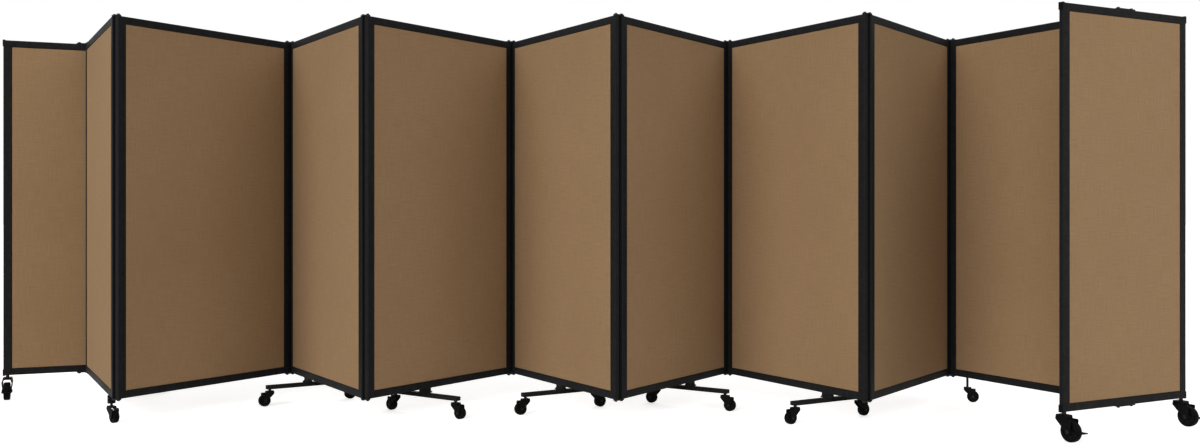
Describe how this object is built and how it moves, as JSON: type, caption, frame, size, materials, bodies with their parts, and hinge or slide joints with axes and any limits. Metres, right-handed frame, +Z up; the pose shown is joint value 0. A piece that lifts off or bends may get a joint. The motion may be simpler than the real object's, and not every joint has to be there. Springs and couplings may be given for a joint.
{
  "type": "portable room divider",
  "caption": "Zigzag folding room divider: fabric panels in slim black frames, joined by pivoting hinge plates, on swivel casters and T-feet",
  "frame": {"origin": "on the floor, at the middle of the standing divider's outline", "axes": "+X along the wall to the right, +Y away from the viewer, +Z up"},
  "size_m": [4.7912, 1.1414, 1.5331],
  "materials": {
    "frame_black": "satin",
    "fabric_board": "matte",
    "hinge_black": "satin",
    "caster_black": "satin",
    "wheel_black": "matte"
  },
  "bodies": {
    "panel_6": {"panel_6_frame": "frame_black", "panel_6_board": "fabric_board", "hinge_5_6": "hinge_black", "hinge_6_7": "hinge_black"},
    "panel_1": {"panel_1_frame": "frame_black", "panel_1_board": "fabric_board"},
    "panel_2": {"panel_2_frame": "frame_black", "panel_2_board": "fabric_board"},
    "panel_3": {"panel_3_frame": "frame_black", "panel_3_board": "fabric_board", "hinge_2_3": "hinge_black"},
    "panel_4": {"panel_4_frame": "frame_black", "panel_4_board": "fabric_board", "hinge_3_4": "hinge_black"},
    "panel_5": {"panel_5_frame": "frame_black", "panel_5_board": "fabric_board", "hinge_4_5": "hinge_black"},
    "panel_7": {"panel_7_frame": "frame_black", "panel_7_board": "fabric_board", "hinge_7_8": "hinge_black"},
    "panel_8": {"panel_8_frame": "frame_black", "panel_8_board": "fabric_board", "hinge_8_9": "hinge_black"},
    "panel_9": {"panel_9_frame": "frame_black", "panel_9_board": "fabric_board", "hinge_9_10": "hinge_black"},
    "panel_10": {"panel_10_frame": "frame_black", "panel_10_board": "fabric_board"},
    "panel_11": {"panel_11_frame": "frame_black", "panel_11_board": "fabric_board"},
    "caster_4_front_fork": {"caster_4_front_fork": "caster_black"},
    "caster_4_front_wheel": {"caster_4_front_wheel": "wheel_black"},
    "caster_4_back_fork": {"caster_4_back_fork": "caster_black"},
    "caster_4_back_wheel": {"caster_4_back_wheel": "wheel_black"},
    "caster_5_front_fork": {"caster_5_front_fork": "caster_black"},
    "caster_5_front_wheel": {"caster_5_front_wheel": "wheel_black"},
    "caster_5_back_fork": {"caster_5_back_fork": "caster_black"},
    "caster_5_back_wheel": {"caster_5_back_wheel": "wheel_black"},
    "caster_6_front_fork": {"caster_6_front_fork": "caster_black"},
    "caster_6_front_wheel": {"caster_6_front_wheel": "wheel_black"},
    "caster_6_back_fork": {"caster_6_back_fork": "caster_black"},
    "caster_6_back_wheel": {"caster_6_back_wheel": "wheel_black"},
    "caster_7_front_fork": {"caster_7_front_fork": "caster_black"},
    "caster_7_front_wheel": {"caster_7_front_wheel": "wheel_black"},
    "caster_7_back_fork": {"caster_7_back_fork": "caster_black"},
    "caster_7_back_wheel": {"caster_7_back_wheel": "wheel_black"},
    "caster_8_front_fork": {"caster_8_front_fork": "caster_black"},
    "caster_8_front_wheel": {"caster_8_front_wheel": "wheel_black"},
    "caster_8_back_fork": {"caster_8_back_fork": "caster_black"},
    "caster_8_back_wheel": {"caster_8_back_wheel": "wheel_black"},
    "caster_1_left_fork": {"caster_1_left_fork": "caster_black"},
    "caster_1_left_wheel": {"caster_1_left_wheel": "wheel_black"},
    "caster_1_right_fork": {"caster_1_right_fork": "caster_black"},
    "caster_1_right_wheel": {"caster_1_right_wheel": "wheel_black"},
    "caster_11_left_fork": {"caster_11_left_fork": "caster_black"},
    "caster_11_left_wheel": {"caster_11_left_wheel": "wheel_black"},
    "caster_11_right_fork": {"caster_11_right_fork": "caster_black"},
    "caster_11_right_wheel": {"caster_11_right_wheel": "wheel_black"},
    "caster_2": {"caster_2": "caster_black"},
    "caster_10": {"caster_10": "caster_black"}
  },
  "joints": [
    {"name": "fold_2_3", "type": "hinge", "parent": "panel_3", "child": "panel_2", "pos_m": [-1.63913, -0.30838, 1.5265], "axis": [0, 0, -1], "range_deg": [-117.6, 40]},
    {"name": "fold_3_4", "type": "hinge", "parent": "panel_4", "child": "panel_3", "pos_m": [-1.20004, 0.38693, 1.5265], "axis": [0, 0, 1], "range_deg": [-114.8, 65.2]},
    {"name": "fold_4_5", "type": "hinge", "parent": "panel_5", "child": "panel_4", "pos_m": [-0.71352, -0.27606, 1.5265], "axis": [0, 0, -1], "range_deg": [-112.2, 67.8]},
    {"name": "fold_5_6", "type": "hinge", "parent": "panel_6", "child": "panel_5", "pos_m": [-0.24334, 0.39862, 1.5265], "axis": [0, 0, 1], "range_deg": [-113.4, 66.6]},
    {"name": "fold_6_7", "type": "hinge", "parent": "panel_6", "child": "panel_7", "pos_m": [0.24923, -0.2612, 1.5265], "axis": [0, 0, 1], "range_deg": [-114.5, 65.5]},
    {"name": "fold_7_8", "type": "hinge", "parent": "panel_7", "child": "panel_8", "pos_m": [0.70637, 0.42238, 1.5265], "axis": [0, 0, -1], "range_deg": [-115.6, 64.4]},
    {"name": "fold_8_9", "type": "hinge", "parent": "panel_8", "child": "panel_9", "pos_m": [1.16589, -0.2596, 1.5265], "axis": [0, 0, 1], "range_deg": [-113.3, 66.7]},
    {"name": "fold_9_10", "type": "hinge", "parent": "panel_9", "child": "panel_10", "pos_m": [1.6501, 0.40508, 1.5265], "axis": [0, 0, -1], "range_deg": [-116.2, 52]},
    {"name": "turn_left_end", "type": "hinge", "parent": "panel_2", "child": "panel_1", "pos_m": [-2.07229, 0.39023, 1.5265], "axis": [0, 0, 1], "range_deg": [-82.7, 47.3]},
    {"name": "turn_right_end", "type": "hinge", "parent": "panel_10", "child": "panel_11", "pos_m": [2.05362, -0.31106, 1.5265], "axis": [0, 0, 1], "range_deg": [-90.5, 39.5]},
    {"name": "caster_1_left_swivel", "type": "hinge", "parent": "panel_1", "child": "caster_1_left_fork", "pos_m": [-2.36797, 0.28185, 0.065], "axis": [0, 0, 1], "continuous": true},
    {"name": "caster_1_right_swivel", "type": "hinge", "parent": "panel_1", "child": "caster_1_right_fork", "pos_m": [-1.79652, 0.54228, 0.065], "axis": [0, 0, 1], "continuous": true},
    {"name": "caster_11_left_swivel", "type": "hinge", "parent": "panel_11", "child": "caster_11_left_fork", "pos_m": [1.79338, -0.48839, 0.065], "axis": [0, 0, 1], "continuous": true},
    {"name": "caster_11_right_swivel", "type": "hinge", "parent": "panel_11", "child": "caster_11_right_fork", "pos_m": [2.33779, -0.17534, 0.065], "axis": [0, 0, 1], "continuous": true},
    {"name": "caster_2_swivel", "type": "hinge", "parent": "panel_2", "child": "caster_2", "pos_m": [-1.68234, -0.23869, 0.065], "axis": [0, 0, 1], "continuous": true},
    {"name": "caster_10_swivel", "type": "hinge", "parent": "panel_10", "child": "caster_10", "pos_m": [1.69035, 0.33364, 0.065], "axis": [0, 0, 1], "continuous": true},
    {"name": "caster_4_front_swivel", "type": "hinge", "parent": "panel_4", "child": "caster_4_front_fork", "pos_m": [-1.19839, 0.14327, 0.065], "axis": [0, 0, 1], "continuous": true},
    {"name": "caster_4_back_swivel", "type": "hinge", "parent": "panel_4", "child": "caster_4_back_fork", "pos_m": [-0.93334, 0.32612, 0.065], "axis": [0, 0, 1], "continuous": true},
    {"name": "caster_5_front_swivel", "type": "hinge", "parent": "panel_5", "child": "caster_5_front_fork", "pos_m": [-0.39103, -0.1211, 0.065], "axis": [0, 0, 1], "continuous": true},
    {"name": "caster_5_back_swivel", "type": "hinge", "parent": "panel_5", "child": "caster_5_back_fork", "pos_m": [-0.66047, 0.05522, 0.065], "axis": [0, 0, 1], "continuous": true},
    {"name": "caster_6_front_swivel", "type": "hinge", "parent": "panel_6", "child": "caster_6_front_fork", "pos_m": [-0.13147, -0.01992, 0.065], "axis": [0, 0, 1], "continuous": true},
    {"name": "caster_6_back_swivel", "type": "hinge", "parent": "panel_6", "child": "caster_6_back_fork", "pos_m": [0.13735, 0.15734, 0.065], "axis": [0, 0, 1], "continuous": true},
    {"name": "caster_7_front_swivel", "type": "hinge", "parent": "panel_7", "child": "caster_7_front_fork", "pos_m": [0.65968, 0.09015, 0.065], "axis": [0, 0, 1], "continuous": true},
    {"name": "caster_7_back_swivel", "type": "hinge", "parent": "panel_7", "child": "caster_7_back_fork", "pos_m": [0.38691, 0.26126, 0.065], "axis": [0, 0, 1], "continuous": true},
    {"name": "caster_8_front_swivel", "type": "hinge", "parent": "panel_8", "child": "caster_8_front_fork", "pos_m": [0.90185, -0.18814, 0.065], "axis": [0, 0, 1], "continuous": true},
    {"name": "caster_8_back_swivel", "type": "hinge", "parent": "panel_8", "child": "caster_8_back_fork", "pos_m": [1.17402, -0.01608, 0.065], "axis": [0, 0, 1], "continuous": true},
    {"name": "caster_1_left_roll", "type": "hinge", "parent": "caster_1_left_fork", "child": "caster_1_left_wheel", "pos_m": [-2.35595, 0.25546, 0.0375], "axis": [0.91, 0.4147, 0], "continuous": true},
    {"name": "caster_1_right_roll", "type": "hinge", "parent": "caster_1_right_fork", "child": "caster_1_right_wheel", "pos_m": [-1.78449, 0.51589, 0.0375], "axis": [0.91, 0.4147, 0], "continuous": true},
    {"name": "caster_11_left_roll", "type": "hinge", "parent": "caster_11_left_fork", "child": "caster_11_left_wheel", "pos_m": [1.80783, -0.51353, 0.0375], "axis": [0.8669, 0.4985, 0], "continuous": true},
    {"name": "caster_11_right_roll", "type": "hinge", "parent": "caster_11_right_fork", "child": "caster_11_right_wheel", "pos_m": [2.35224, -0.20048, 0.0375], "axis": [0.8669, 0.4985, 0], "continuous": true},
    {"name": "caster_4_front_roll", "type": "hinge", "parent": "caster_4_front_fork", "child": "caster_4_front_wheel", "pos_m": [-1.2165, 0.13078, 0.024], "axis": [0.5678, -0.8231, 0], "continuous": true},
    {"name": "caster_4_back_roll", "type": "hinge", "parent": "caster_4_back_fork", "child": "caster_4_back_wheel", "pos_m": [-0.91523, 0.33861, 0.024], "axis": [-0.5678, 0.8231, 0], "continuous": true},
    {"name": "caster_5_front_roll", "type": "hinge", "parent": "caster_5_front_fork", "child": "caster_5_front_wheel", "pos_m": [-0.37262, -0.13315, 0.024], "axis": [0.5476, 0.8368, 0], "continuous": true},
    {"name": "caster_5_back_roll", "type": "hinge", "parent": "caster_5_back_fork", "child": "caster_5_back_wheel", "pos_m": [-0.67888, 0.06726, 0.024], "axis": [-0.5476, -0.8368, 0], "continuous": true},
    {"name": "caster_6_front_roll", "type": "hinge", "parent": "caster_6_front_fork", "child": "caster_6_front_wheel", "pos_m": [-0.14983, -0.03203, 0.024], "axis": [0.5505, -0.8348, 0], "continuous": true},
    {"name": "caster_6_back_roll", "type": "hinge", "parent": "caster_6_back_fork", "child": "caster_6_back_wheel", "pos_m": [0.15572, 0.16945, 0.024], "axis": [-0.5505, 0.8348, 0], "continuous": true},
    {"name": "caster_7_front_roll", "type": "hinge", "parent": "caster_7_front_fork", "child": "caster_7_front_wheel", "pos_m": [0.67832, 0.07845, 0.024], "axis": [0.5314, 0.8471, 0], "continuous": true},
    {"name": "caster_7_back_roll", "type": "hinge", "parent": "caster_7_back_fork", "child": "caster_7_back_wheel", "pos_m": [0.36827, 0.27295, 0.024], "axis": [-0.5314, -0.8471, 0], "continuous": true},
    {"name": "caster_8_front_roll", "type": "hinge", "parent": "caster_8_front_fork", "child": "caster_8_front_wheel", "pos_m": [0.88325, -0.19989, 0.024], "axis": [0.5344, -0.8453, 0], "continuous": true},
    {"name": "caster_8_back_roll", "type": "hinge", "parent": "caster_8_back_fork", "child": "caster_8_back_wheel", "pos_m": [1.19262, -0.00432, 0.024], "axis": [-0.5344, 0.8453, 0], "continuous": true}
  ]
}
